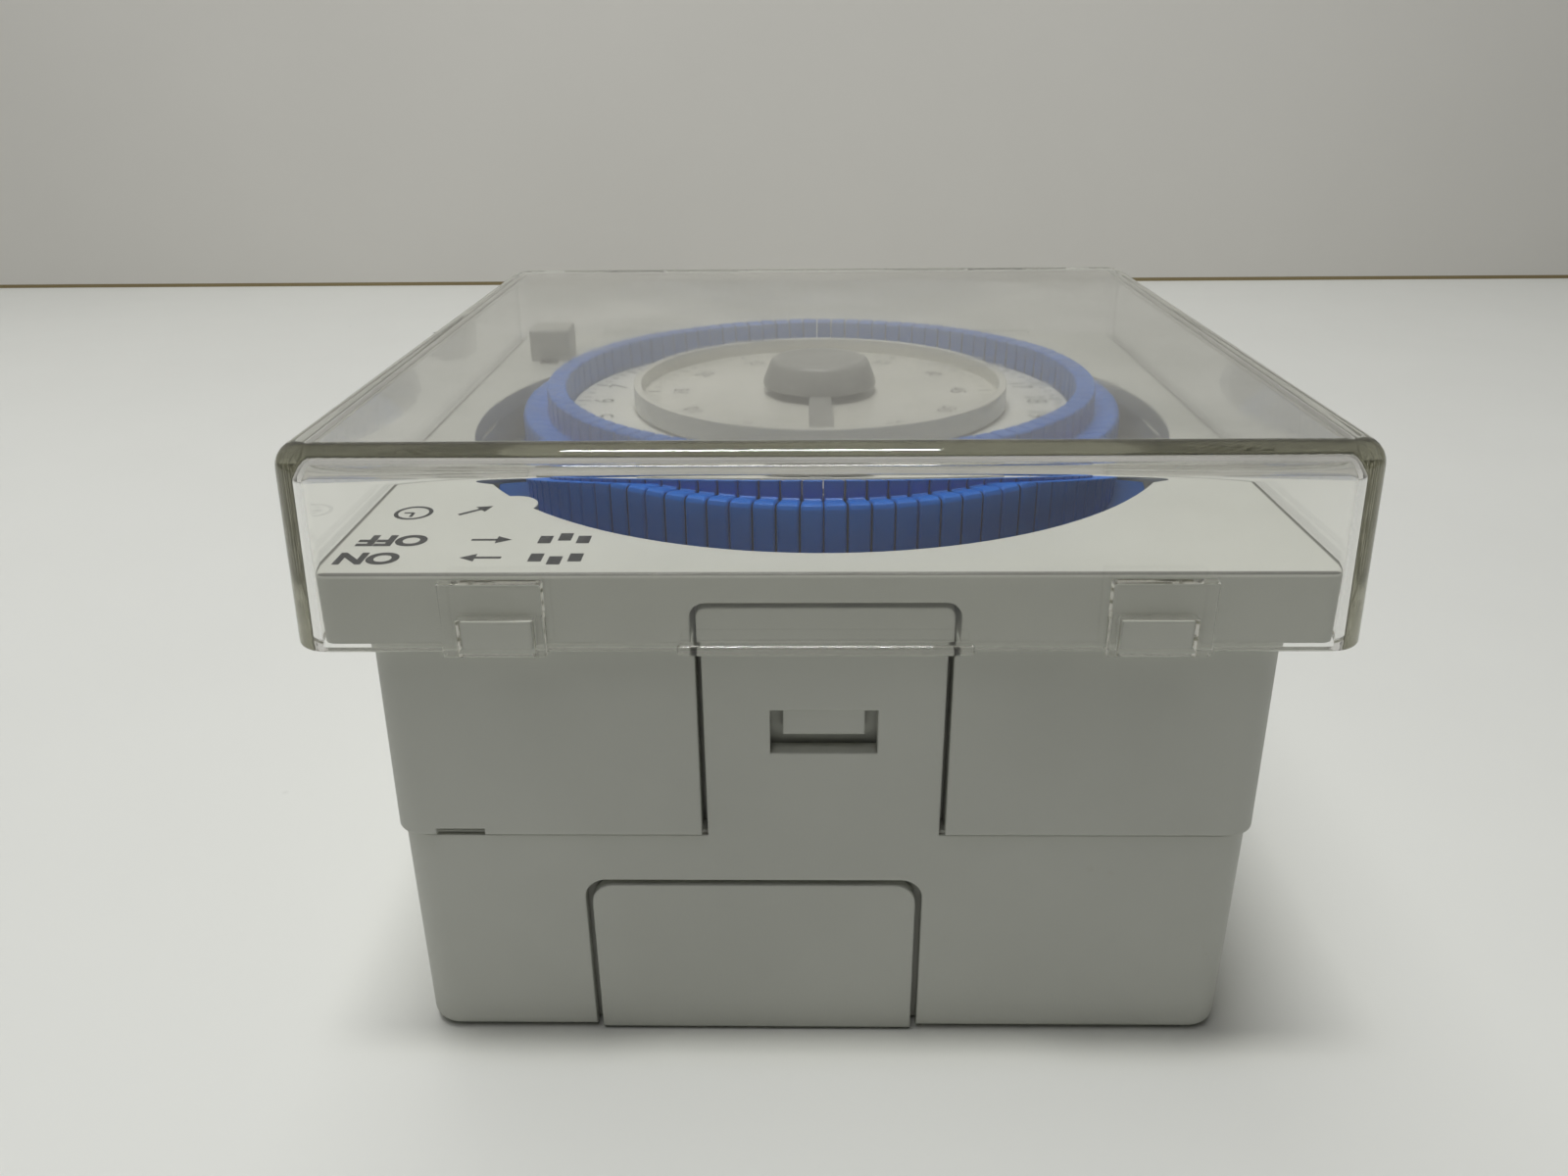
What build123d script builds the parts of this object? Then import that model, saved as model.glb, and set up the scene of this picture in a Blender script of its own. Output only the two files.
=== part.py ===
from build123d import *
import os
from math import acos, cos, hypot, pi, radians, sin, tan

# Plug-in 24-hour time switch lying on its back: +Z points away from the wall, -Y is the near end.
# The origin is the centre of the base's underside. All sizes are in millimetres.

# Terminal base
base_width = 76.1
base_height = 22.9
base_wall = 2.2
base_floor = 2.5
base_corner = 3.0
base_bottom_round = 1.4
seam_rebate = 0.3          # groove that shows as the dark line of the seam
wall_hole_radius = 2.25
wall_hole_spacing = 44.0
wall_hole_y = -14.0
cut_past = 1.0             # how far a cut runs past the face that it opens

# Upper case with its flange and face plate
case_overhang = 0.4        # case past the base at the seam
case_draft = 0.6           # how much narrower the case is at its top
case_height = 26.3
case_wall = 2.0
case_corner = 3.0
plate_thickness = 2.0
flange_overhang = 2.45
flange_height = 6.0
flange_corner = 1.6
flange_edge_round = 0.4
opening_past_wall = 0.25   # edge of the opening past the inner walls
opening_gap = 2.6          # opening past the trippers that are pulled out
tab_reach = 1.4            # pointer tab, how far it stands into the opening
tab_radius = 2.4
tab_azimuth = 221.5
pry_notch_width = 4.3
pry_notch_height = 0.6
pry_notch_x = -32.2
boss_radius = 3.2
boss_sink = 0.4            # how far a screw boss runs into the walls beside it

# Latch tongues of the base and the hooks of the case
tongue_width = 20.5
tongue_thickness = 1.7
tongue_gap = 0.5
tongue_back_gap = 0.3
tongue_head_height = 3.0
tongue_head_gap = 0.2      # head to the flange's face
tongue_corner = 0.8
channel_backing = 1.2
channel_backing_side = 1.2
window_width = 9.2
window_height = 4.2
window_rise = 12.4         # top of the window above the seam
hook_width = 7.0
hook_height = 2.4
hook_gap = 0.2
hook_reach = 1.5

# Clear cover, its clip pockets and the lugs that they hold
cover_gap = 0.3            # cover to the flange
cover_draft = 1.0          # how much narrower the cover is at its top
cover_wall = 1.6
cover_top_wall = 1.8
cover_drop = 0.2           # skirt below the flange
cover_rise = 10.4          # top of the cover above the face plate
cover_corner = 3.0
cover_edge_round = 2.4
clip_spacing = 51.7
clip_width = 8.1
clip_wall = 0.95
clip_proud = 0.9
clip_height = 6.2
lug_height = 2.4
lug_reach = 1.2
lug_gap = 0.3
lip_width = 23.2
lip_height = 0.9
lip_reach = 0.8

# Cable shutters
shutter_width = 29.5
shutter_offset = -6.35
shutter_top = 17.1
shutter_bottom = 0.4
shutter_gap = 0.6
shutter_corner = 2.0
shutter_face = 1.1         # thickness of the outer leaf
shutter_rail = 0.5         # thickness of the inner leaf that runs in the groove
shutter_rail_side = 1.5    # how far the inner leaf stands out at each side
shutter_play = 0.2
shutter_guide = 1.3

# Terminals, blades and contacts
terminal_count = 5
block_wall_gap = 5.85      # block to the base's inner walls
block_depth = 22.0
block_height = 14.5
clamp_size = 7.4
clamp_wall = 1.6
clamp_play = 0.2
terminal_screw_radius = 1.75
terminal_head_radius = 3.0
terminal_head_height = 1.8
blade_width = 6.3
blade_thickness = 0.8
blade_insert = 4.0         # how deep a blade goes into its contact
blade_head = 1.6           # part of the blade above the module's back
contact_leaf = 0.8
contact_height = 7.0
contact_play = 0.1

# Module back, its screws and the movement's frame
back_thickness = 2.0
back_play = 0.2
back_recess = 0.2          # back sits this far inside the case's rim
bearing_boss_radius = 3.6
small_screw_radius = 1.1
small_head_radius = 2.2
small_head_height = 1.2
small_screw_length = 9.0
pillar_radius = 2.5
pillar_side = 6.15         # pillars to the side walls
pillar_end = 8.0           # pillars to the end walls
pillar_near_x = 6.0
pillar_near = 3.85         # near pillar to the wall behind the latch
movement_plate_thickness = 1.2
movement_plate_side = 0.7  # gap to the case's walls
movement_plate_corner = 9.0

# Train from the motor to the dial
arbor_radius = 1.5
running_play = 0.05
pressure_angle = 25.0
addendum = 0.8
dedendum = 1.1
backlash = 0.12
modules_across = 72.3      # half of the case's inside, in modules of the motor pinion
motor_teeth = 12
minute_teeth = 60
centre_teeth = 10
motion_teeth = 40
motion_pinion_teeth = 10
dial_teeth = 60
gear_face = 1.6
pinion_extra = 0.3         # how far a pinion runs past its wheel at each side
motion_arbor_radius = 1.0
motor_shaft_radius = 0.8
motor_wall_gap = 2.2       # can to the case's inner walls
motor_shell = 0.6
motor_offset_share = 1 / 3  # output shaft to the can's centre, as a share of its distance to the arbor
motor_azimuth = 225.0
coil_gap = 0.3
coil_shaft_gap = 0.4       # winding to the output shaft
wheel_lift = 0.6           # minute wheel above the motor can
wheel_room = 0.5           # motor pinion to the movement plate
motion_lift = 0.4          # motion wheel above the bearing bosses
motion_share = 0.36        # height of the motion wheel between the back and the minute wheel

# Dial, drum, hand and knob
dial_proud = 1.4           # dial above the face plate
dial_thickness = 1.2
post_radius = 3.0
post_tip_radius = 2.3
bush_wall = 1.2
dial_scale_width = 6.7     # ring of the dial outside the drum
drum_rim = 0.8
drum_rim_height = 1.5
drum_floor = 0.7
drum_gap = 0.3             # drum above the dial
hand_width = 2.3
hand_short = 1.8           # hand short of the drum's edge
hand_hub_radius = 4.0
hand_thickness = 0.6
hand_gap = 0.3
knob_radius = 6.0
knob_top_radius = 5.1
knob_height = 2.7
knob_round = 0.4
arbor_in_knob = 1.8

# Trippers and their carrier
tripper_count = 96
trippers_per_block = 4
tripper_gap_angle = 0.25
tripper_dial_gap = 0.3     # trippers to the dial's edge
tripper_tall_width = 1.6
tripper_ledge_width = 3.0
tripper_toe_length = 3.4
tripper_ledge_proud = 0.3  # ledge above the dial
tripper_tall_proud = 2.4   # tall end above the dial
tripper_round = 0.8
tripper_travel = 2.4
toe_height = 4.5
toe_gap = 0.3
peg_width = 2.0
peg_height = 1.3
peg_inset = 1.4            # peg from the toe's end
groove_play = 0.3
carrier_play = 0.1
carrier_floor = 2.4
carrier_gap = 0.35         # edge of the carrier to the wall behind the latch
carrier_wall = 1.0
carrier_wall_gap = 0.5     # wall to the toes

# Switch lever, microswitch and override
lever_azimuth = 135.0      # between two blocks of trippers
lever_wall_gap = 0.65      # hub to the case's wall
lever_pivot_y = 18.0
lever_pin_radius = 1.0
lever_hub_radius = 2.0
lever_arm_width = 1.2
lever_arm_height = 1.2
lever_arm_lift = 0.15      # arm above the undersides of the trippers
lever_nose_thickness = 0.4
lever_nose_play = 1.1      # nose to the trippers that are pushed in
lever_elbow_play = 1.6     # elbow to the trippers that are pulled out
lever_tail_length = 10.0
lever_tail_width = 1.2
lever_tail_height = 3.0
lever_lift = 0.5           # lower end of the hub above the movement plate
plunger_gap = 0.15
plunger_stick_out = 1.5
plunger_length = 4.0
plunger_size = 1.6
plunger_over = 0.2         # travel past the face of the switch
microswitch_length = 12.5
microswitch_width = 10.0
microswitch_height = 3.4
microswitch_gap = 0.5      # switch to the dial's gear
override_wall_gap = 0.35   # foot to the case's wall
override_boss_gap = 1.15   # foot to the screw boss
override_width = 5.0
override_length = 5.4
override_height = 3.8
override_stem = 2.0
override_foot = 3.4
override_foot_height = 1.2
override_travel = 3.0
override_play = 0.1
override_round = 0.5

# Places that follow from the sizes above
base_half = base_width / 2
base_inner_half = base_half - base_wall
case_width_seam = base_width + 2 * case_overhang
case_width_top = case_width_seam - case_draft
cavity_half = case_width_top / 2 - case_wall
plate_top = base_height + case_height
plate_bottom = plate_top - plate_thickness
flange_width = case_width_top + 2 * flange_overhang
flange_half = flange_width / 2
flange_bottom = plate_top - flange_height
tongue_back = base_half - tongue_thickness
channel_back = tongue_back - tongue_back_gap
channel_half = tongue_width / 2 + tongue_gap
channel_top = flange_bottom + tongue_head_height + tongue_gap
backing_inner = channel_back - channel_backing
backing_half = channel_half + channel_backing_side
window_top = base_height + window_rise
cover_inner_half = flange_half + cover_gap
cover_half = cover_inner_half + cover_wall
cover_bottom = flange_bottom - cover_drop
cover_top = plate_top + cover_rise
clip_places = (-clip_spacing / 2, clip_spacing / 2)
lug_width = clip_width - 2 * clip_wall - 2 * lug_gap
lug_top = flange_bottom + lug_height
pocket_depth = flange_half + lug_reach + lug_gap
block_top = base_floor + block_height
block_front_y = base_inner_half - block_wall_gap - block_depth
terminal_pitch = 2 * (base_inner_half - block_wall_gap) / terminal_count
back_bottom = base_height + back_recess
back_top = back_bottom + back_thickness
bearing_floor = back_bottom + back_thickness / 2
boss_place = cavity_half - boss_radius + boss_sink
boss_places = [(sx * boss_place, sy * boss_place) for sx in (1, -1) for sy in (1, -1)]
pillar_x = cavity_half - pillar_side
pillar_y = cavity_half - pillar_end
pillar_places = ((pillar_x, pillar_y), (-pillar_x, pillar_y), (pillar_x, -pillar_y),
                 (pillar_near_x, pillar_near - backing_inner))
drive_module = cavity_half / modules_across
centre_distance = drive_module * (motor_teeth + minute_teeth) / 2
motion_distance = drive_module * (motion_pinion_teeth + dial_teeth) / 2
motion_module = 2 * motion_distance / (centre_teeth + motion_teeth)
motor_offset = motor_offset_share * centre_distance
coil_inner_radius = motor_offset + motor_shaft_radius + coil_shaft_gap
motor_pinion_x = centre_distance * cos(radians(motor_azimuth))
motor_pinion_y = centre_distance * sin(radians(motor_azimuth))
motor_x = (centre_distance + motor_offset) * cos(radians(motor_azimuth))
motor_y = (centre_distance + motor_offset) * sin(radians(motor_azimuth))
motor_radius = cavity_half + motor_y - motor_wall_gap
dial_top = plate_top + dial_proud
dial_bottom = dial_top - dial_thickness
toe_top = dial_bottom - toe_gap
tripper_bottom = toe_top - toe_height
carrier_floor_top = tripper_bottom - carrier_play
carrier_bottom = carrier_floor_top - carrier_floor
dial_gear_bottom = carrier_bottom - gear_face
plate_high = dial_gear_bottom - microswitch_gap - microswitch_height
plate_low = plate_high - movement_plate_thickness
minute_wheel_bottom = plate_low - wheel_room - pinion_extra - gear_face
motor_top = minute_wheel_bottom - wheel_lift
motion_wheel_bottom = back_top + motion_share * (minute_wheel_bottom - back_top)
bearing_boss_height = motion_wheel_bottom - pinion_extra - motion_lift - back_top
bush_radius = post_radius + running_play + bush_wall
drum_bottom = dial_top + drum_gap
drum_face = drum_bottom + drum_floor
drum_top = drum_face + drum_rim_height
hand_bottom = drum_face + hand_gap
knob_bottom = hand_bottom + hand_thickness
opening_radius = cavity_half + opening_past_wall
tripper_reach = opening_radius - opening_gap
tripper_outer_radius = tripper_reach - tripper_travel
tripper_step_radius = tripper_outer_radius - tripper_ledge_width
tripper_inner_radius = tripper_step_radius - tripper_tall_width
dial_radius = tripper_inner_radius - tripper_dial_gap
drum_radius = dial_radius - dial_scale_width
hand_reach = drum_radius - hand_short
tripper_toe_radius = tripper_inner_radius - tripper_toe_length
tripper_ledge_top = dial_top + tripper_ledge_proud
tripper_tall_top = dial_top + tripper_tall_proud
carrier_radius = backing_inner - carrier_gap
peg_inner_radius = tripper_toe_radius + peg_inset
tripper_step = 360 / tripper_count
block_count = tripper_count // trippers_per_block
lever_pivot_x = -(cavity_half - lever_wall_gap - lever_hub_radius)
lever_bottom = plate_high + lever_lift
lever_arm_bottom = tripper_bottom + lever_arm_lift
lever_arm_top = lever_arm_bottom + lever_arm_height
nose_radius = tripper_outer_radius + lever_nose_play
elbow_radius = tripper_reach + lever_elbow_play
plunger_tip = lever_pivot_x + lever_tail_width / 2 + plunger_gap
plunger_y = lever_pivot_y - lever_tail_length
plunger_z = lever_bottom + lever_tail_height / 2
microswitch_face = plunger_tip + plunger_stick_out
override_x = -(cavity_half - override_wall_gap - override_foot / 2)
override_y = boss_place - boss_radius - override_boss_gap - override_foot / 2
clamp_bottom = base_floor + clamp_wall
clamp_top = clamp_bottom + clamp_size
clamp_y = block_front_y + clamp_size / 2 + clamp_play
contact_y = block_front_y + block_depth - clamp_size / 2 - clamp_play
terminal_places = [(i - (terminal_count - 1) / 2) * terminal_pitch for i in range(terminal_count)]


def box(x0, x1, y0, y1, z0, z1):
    """A block between its lowest and highest corners."""
    middle = Location(((x0 + x1) / 2, (y0 + y1) / 2, (z0 + z1) / 2))
    return middle * Box(abs(x1 - x0), abs(y1 - y0), abs(z1 - z0))


def rounded_block(width, length, corner, z0, z1, x=0.0, y=0.0):
    """An upright block with rounded vertical edges."""
    return extrude(Location((x, y, z0)) * RectangleRounded(width, length, corner), z1 - z0)


def tapered_block(width0, width1, corner, z0, z1):
    """A square block with rounded vertical edges that changes width from z0 to z1."""
    lower = Location((0, 0, z0)) * RectangleRounded(width0, width0, corner)
    upper = Location((0, 0, z1)) * RectangleRounded(width1, width1, corner)
    return loft([lower, upper])


def rod(radius, z0, z1, x=0.0, y=0.0):
    """An upright cylinder."""
    return extrude(Location((x, y, z0)) * Circle(radius), z1 - z0)


def ring(outer, inner, z0, z1, x=0.0, y=0.0):
    """An upright ring."""
    return rod(outer, z0, z1, x, y) - rod(inner, z0, z1, x, y)


def turned(shape):
    """The shape and its copy at the far end, turned half a turn about the upright axis."""
    return shape + Rot(0, 0, 180) * shape


def polar(radius, azimuth):
    """The point at a radius and an azimuth in degrees."""
    return (radius * cos(radians(azimuth)), radius * sin(radians(azimuth)))


def gear(teeth, module, z0, z1, phase):
    """A spur gear with involute flanks and one tooth at the phase angle in degrees."""
    pitch = module * teeth / 2
    base_circle = pitch * cos(radians(pressure_angle))
    tip = pitch + addendum * module
    root = pitch - dedendum * module
    flank_start = max(root, base_circle)

    def roll(radius):
        angle = acos(base_circle / radius)
        return tan(angle) - angle

    half_pitch = pi / (2 * teeth) - backlash / (2 * pitch)

    def half_angle(radius):
        return half_pitch + roll(pitch) - roll(max(radius, base_circle))

    def point(radius, angle):
        return (radius * cos(angle), radius * sin(angle))

    edges = []
    for i in range(teeth):
        middle = radians(phase) + 2 * pi * i / teeth
        half_way = (flank_start + tip) / 2
        foot = half_angle(flank_start)
        rising = [point(r, middle - half_angle(r)) for r in (flank_start, half_way, tip)]
        falling = [point(r, middle + half_angle(r)) for r in (tip, half_way, flank_start)]
        if root < flank_start:
            edges.append(Line(point(root, middle - foot), rising[0]))
        edges.append(ThreePointArc(*rising))
        edges.append(ThreePointArc(rising[2], point(tip, middle), falling[0]))
        edges.append(ThreePointArc(*falling))
        if root < flank_start:
            edges.append(Line(falling[2], point(root, middle + foot)))
        gap_middle = middle + pi / teeth
        next_foot = middle + 2 * pi / teeth - foot
        ends = (point(root, middle + foot), point(root, gap_middle), point(root, next_foot))
        edges.append(ThreePointArc(*ends))
    return extrude(Location((0, 0, z0)) * make_face(edges), z1 - z0)


def make_terminal_base():
    shell = rounded_block(base_width, base_width, base_corner, 0, base_height)
    shell = fillet(shell.faces().sort_by(Axis.Z)[0].edges(), base_bottom_round)
    inner = 2 * base_inner_half
    shell -= rounded_block(inner, inner, base_corner / 2, base_floor, base_height)
    rebate_low = base_height - seam_rebate
    rebate = rounded_block(base_width, base_width, base_corner, rebate_low, base_height)
    rebate_inner = base_width - 2 * seam_rebate
    shell -= rebate - rounded_block(rebate_inner, rebate_inner, base_corner, rebate_low, base_height)

    groove_half = shutter_width / 2 + shutter_rail_side + shutter_play
    window_half = shutter_width / 2 + shutter_gap
    inner_half = window_half - shutter_guide
    groove_face = -base_half + shutter_face + shutter_play
    groove_back = groove_face + shutter_rail + 2 * shutter_play
    groove_high = shutter_top + shutter_rail_side
    guide_half = groove_half + shutter_guide
    guide_inner = groove_back + shutter_guide
    middle = shutter_offset
    window = box(middle - window_half, middle + window_half, -base_half - cut_past, groove_back,
                 0, shutter_top + shutter_gap)
    window = fillet(window.edges().filter_by(Axis.Y).sort_by(Axis.Z)[-2:], shutter_corner)
    groove = box(middle - groove_half, middle + groove_half, groove_face, groove_back, 0, groove_high)
    guide = box(middle - guide_half, middle + guide_half, groove_face, guide_inner,
                base_floor, groove_high + shutter_guide)
    way_in = box(middle - inner_half, middle + inner_half, groove_back, guide_inner, base_floor, groove_high)
    shell += turned(guide)
    shell -= turned(window + groove + way_in)

    half = tongue_width / 2
    root = base_height - seam_rebate - tongue_thickness
    head_top = flange_bottom + tongue_head_height
    stem = box(-half, half, -base_half, -tongue_back, root, head_top)
    stem = fillet(stem.edges().filter_by(Axis.Y).sort_by(Axis.Z)[-2:], tongue_corner)
    head = box(-half, half, -flange_half + tongue_head_gap, -tongue_back, flange_bottom, head_top)
    head = fillet(head.edges().filter_by(Axis.Y).sort_by(Axis.Z)[-2:], tongue_corner)
    window_half = window_width / 2
    hole = box(-window_half, window_half, -base_half, -tongue_back, window_top - window_height, window_top)
    shell += turned(stem + head - hole)

    for side in (-1, 1):
        shell -= rod(wall_hole_radius, 0, base_floor, side * wall_hole_spacing / 2, wall_hole_y)
    return shell


def make_upper_case():
    shell = tapered_block(case_width_seam, case_width_top, case_corner, base_height, plate_bottom)
    flange = rounded_block(flange_width, flange_width, flange_corner, flange_bottom, plate_top)
    shell += fillet(flange.faces().sort_by(Axis.Z)[-1].edges(), flange_edge_round)
    cavity = 2 * cavity_half
    shell -= rounded_block(cavity, cavity, case_corner / 2, base_height, plate_bottom)

    backing = box(-backing_half, backing_half, -cavity_half - case_wall / 2, -backing_inner,
                  base_height, plate_bottom)
    channel = box(-channel_half, channel_half, -flange_half - cut_past, -channel_back,
                  base_height, channel_top)
    channel = fillet(channel.edges().filter_by(Axis.Y).sort_by(Axis.Z)[-2:], tongue_corner + tongue_gap)
    hook_top = window_top - hook_gap
    hook = box(-hook_width / 2, hook_width / 2, -channel_back - hook_reach, -channel_back,
               hook_top - hook_height, hook_top)
    shell += turned(backing)
    shell -= turned(channel)
    shell += turned(hook)

    for x, y in boss_places:
        shell += rod(boss_radius, back_top, plate_bottom, x, y)
        shell -= rod(small_screw_radius, back_top, back_top + small_screw_length, x, y)

    shell -= rod(opening_radius, plate_bottom, plate_top)
    tab_x, tab_y = polar(opening_radius - tab_reach + tab_radius, tab_azimuth)
    shell += rod(tab_radius, plate_bottom, plate_top, tab_x, tab_y)

    for x in clip_places:
        half = lug_width / 2
        lug = box(x - half, x + half, -flange_half - lug_reach, -flange_half + lug_reach,
                  flange_bottom, lug_top)
        shell += turned(lug)

    notch_half = pry_notch_width / 2
    shell -= box(pry_notch_x - notch_half, pry_notch_x + notch_half, -case_width_seam / 2, -cavity_half,
                 base_height, base_height + pry_notch_height)

    slot_half = override_stem / 2 + override_play
    shell -= box(override_x - slot_half, override_x + slot_half,
                 override_y - slot_half - override_travel, override_y + slot_half, plate_bottom, plate_top)
    return shell


def make_clear_cover():
    outer = 2 * cover_half
    shell = tapered_block(outer, outer - cover_draft, cover_corner, cover_bottom, cover_top)
    shell = fillet(shell.faces().sort_by(Axis.Z)[-1].edges(), cover_edge_round)
    for x in clip_places:
        half = clip_width / 2
        bump = box(x - half, x + half, -cover_half - clip_proud, -cover_inner_half,
                   cover_bottom, cover_bottom + clip_height)
        shell += turned(bump)
    lip = box(-lip_width / 2, lip_width / 2, -cover_half - lip_reach, -cover_inner_half,
              cover_bottom, cover_bottom + lip_height)
    shell += turned(lip)

    inner = 2 * cover_inner_half
    inner_corner = cover_corner - cover_wall
    shell -= tapered_block(inner, inner - cover_draft, inner_corner, cover_bottom, cover_top - cover_top_wall)
    for x in clip_places:
        half = lug_width / 2 + lug_gap
        pocket = box(x - half, x + half, -pocket_depth, -cover_inner_half + cover_wall,
                     cover_bottom, lug_top + lug_gap)
        shell -= turned(pocket)
    return shell


def make_shutter():
    half = shutter_width / 2
    face = -base_half
    back = face + shutter_face
    leaf = box(shutter_offset - half, shutter_offset + half, face, back, shutter_bottom, shutter_top)
    leaf = fillet(leaf.edges().filter_by(Axis.Y).sort_by(Axis.Z)[-2:], shutter_corner)
    rail_half = half + shutter_rail_side
    rail_front = back + 2 * shutter_play
    rail_back = rail_front + shutter_rail
    rail_top = shutter_top + shutter_rail_side - shutter_play
    rail = box(shutter_offset - rail_half, shutter_offset + rail_half,
               rail_front, rail_back, shutter_bottom, rail_top)
    web_half = half - shutter_corner
    web = box(shutter_offset - web_half, shutter_offset + web_half, back, rail_front,
              shutter_bottom, shutter_top - shutter_corner)
    return leaf + web + rail


def make_terminal_block():
    half = terminal_pitch * terminal_count / 2
    block = box(-half, half, block_front_y, block_front_y + block_depth, base_floor, block_top)
    clamp_room = clamp_size / 2 + clamp_play
    contact_half = blade_width / 2 + contact_play
    contact_room = blade_thickness / 2 + contact_leaf + 2 * contact_play
    for x in terminal_places:
        block -= box(x - clamp_room, x + clamp_room, block_front_y, clamp_y + clamp_room,
                     clamp_bottom, clamp_top + clamp_play)
        block -= rod(terminal_head_radius + clamp_play, clamp_top, block_top, x, clamp_y)
        block -= box(x - contact_half, x + contact_half, contact_y - contact_room, contact_y + contact_room,
                     block_top - contact_height, block_top)
    return block


def make_terminal_clamps():
    clamps = Part()
    low = clamp_bottom
    half = clamp_size / 2
    inner = half - clamp_wall
    for x in terminal_places:
        cage = box(x - half, x + half, clamp_y - half, clamp_y + half, low, clamp_top)
        cage -= box(x - inner, x + inner, clamp_y - half, clamp_y + half,
                    low + clamp_wall, clamp_top - clamp_wall)
        cage -= rod(terminal_screw_radius, clamp_top - clamp_wall, clamp_top, x, clamp_y)
        clamps += cage
    return clamps


def make_terminal_screws():
    screws = Part()
    seat = clamp_top
    for x in terminal_places:
        head_top = seat + terminal_head_height
        screw = rod(terminal_head_radius, seat, head_top, x, clamp_y)
        screw += rod(terminal_screw_radius, seat - 2 * clamp_wall, seat, x, clamp_y)
        slot = terminal_head_height / 2
        screw -= box(x - terminal_head_radius, x + terminal_head_radius,
                     clamp_y - slot / 2, clamp_y + slot / 2, head_top - slot, head_top)
        screws += screw
    return screws


def make_socket_contacts():
    contacts = Part()
    low = block_top - contact_height
    half = blade_width / 2
    inner = blade_thickness / 2 + contact_play
    for x in terminal_places:
        fork = box(x - half, x + half, contact_y - inner - contact_leaf, contact_y + inner + contact_leaf,
                   low, block_top)
        fork -= box(x - half, x + half, contact_y - inner, contact_y + inner, low + contact_leaf, block_top)
        contacts += fork
    return contacts


def make_plug_blades():
    blades = Part()
    low = block_top - blade_insert
    half = blade_width / 2
    thick = blade_thickness / 2
    for x in terminal_places:
        blades += box(x - half, x + half, contact_y - thick, contact_y + thick, low, back_top + blade_head)
    return blades


def make_module_back():
    side = 2 * (cavity_half - back_play)
    back = rounded_block(side, side, case_corner / 2, back_bottom, back_top)
    notch_half = backing_half + back_play
    notch = box(-notch_half, notch_half, -cavity_half, -backing_inner + back_play, back_bottom, back_top)
    back -= turned(notch)
    boss_top = back_top + bearing_boss_height
    back += rod(bearing_boss_radius, back_top, boss_top)
    back += rod(bearing_boss_radius, back_top, boss_top, motion_distance, 0)
    back -= rod(arbor_radius + running_play, bearing_floor, boss_top)
    back -= rod(motion_arbor_radius + running_play, bearing_floor, boss_top, motion_distance, 0)
    for x, y in boss_places:
        back -= rod(small_screw_radius, back_bottom, back_top, x, y)
        back -= rod(small_head_radius, back_bottom, back_bottom + small_head_height, x, y)
    for x, y in pillar_places:
        back -= rod(small_screw_radius, back_bottom, back_top, x, y)
        back -= rod(small_head_radius, back_bottom, back_bottom + small_head_height, x, y)
    for x in terminal_places:
        half = blade_width / 2
        thick = blade_thickness / 2
        back -= box(x - half, x + half, contact_y - thick, contact_y + thick, back_bottom, back_top)
    return back


def make_module_back_screws():
    screws = Part()
    seat = back_bottom + small_head_height
    shank_top = back_top + small_screw_length
    for x, y in boss_places:
        head = rod(small_head_radius, back_bottom, seat, x, y)
        screws += head + rod(small_screw_radius, seat, shank_top, x, y)
    return screws


def make_movement_plate():
    half_x = cavity_half - movement_plate_side
    half_y = backing_inner - movement_plate_side
    plate = box(-half_x, half_x, -half_y, half_y, plate_low, plate_high)
    plate = chamfer(plate.edges().filter_by(Axis.Z), movement_plate_corner)
    plate -= rod(post_radius, plate_low, plate_high)
    plate -= rod(motion_arbor_radius + running_play, plate_low, plate_high, motion_distance, 0)
    plate -= rod(motor_shaft_radius + running_play, plate_low, plate_high, motor_pinion_x, motor_pinion_y)
    plate -= rod(lever_pin_radius, plate_low, plate_high, lever_pivot_x, lever_pivot_y)
    for x, y in pillar_places:
        plate -= rod(small_screw_radius, plate_low, plate_high, x, y)
    return plate


def make_movement_pillars():
    pillars = Part()
    for x, y in pillar_places:
        pillars += ring(pillar_radius, small_screw_radius, back_top, plate_low, x, y)
    return pillars


def make_movement_screws():
    screws = Part()
    for x, y in pillar_places:
        half = (back_bottom + plate_high) / 2
        top = rod(small_head_radius, plate_high, plate_high + small_head_height, x, y)
        screws += top + rod(small_screw_radius, half, plate_high, x, y)
    return screws


def make_motor_can():
    can = rod(motor_radius, back_top, motor_top, motor_x, motor_y)
    can = fillet(can.faces().sort_by(Axis.Z)[-1].edges(), motor_shell)
    can -= rod(motor_radius - motor_shell, back_top, motor_top - motor_shell, motor_x, motor_y)
    can -= rod(motor_shaft_radius + running_play, back_top, motor_top, motor_pinion_x, motor_pinion_y)
    return can


def make_motor_coil():
    outer = motor_radius - motor_shell - coil_gap
    return ring(outer, coil_inner_radius, back_top, motor_top - motor_shell - coil_gap, motor_x, motor_y)


def make_motor_pinion():
    bottom = minute_wheel_bottom - pinion_extra
    top = minute_wheel_bottom + gear_face + pinion_extra
    gap_phase = motor_azimuth - 180 + 180 / motor_teeth
    pinion = gear(motor_teeth, drive_module, bottom, top, gap_phase)
    pinion += rod(motor_shaft_radius, back_top + coil_gap, plate_high)
    return Location((motor_pinion_x, motor_pinion_y, 0)) * pinion


def make_minute_wheel():
    top = minute_wheel_bottom + gear_face
    wheel = gear(minute_teeth, drive_module, minute_wheel_bottom, top, motor_azimuth)
    return wheel - rod(arbor_radius, minute_wheel_bottom, top)


def make_centre_arbor():
    arbor = rod(arbor_radius, bearing_floor + running_play, knob_bottom + arbor_in_knob)
    bottom = motion_wheel_bottom - pinion_extra
    top = motion_wheel_bottom + gear_face + pinion_extra
    return arbor + gear(centre_teeth, motion_module, bottom, top, 0)


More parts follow.
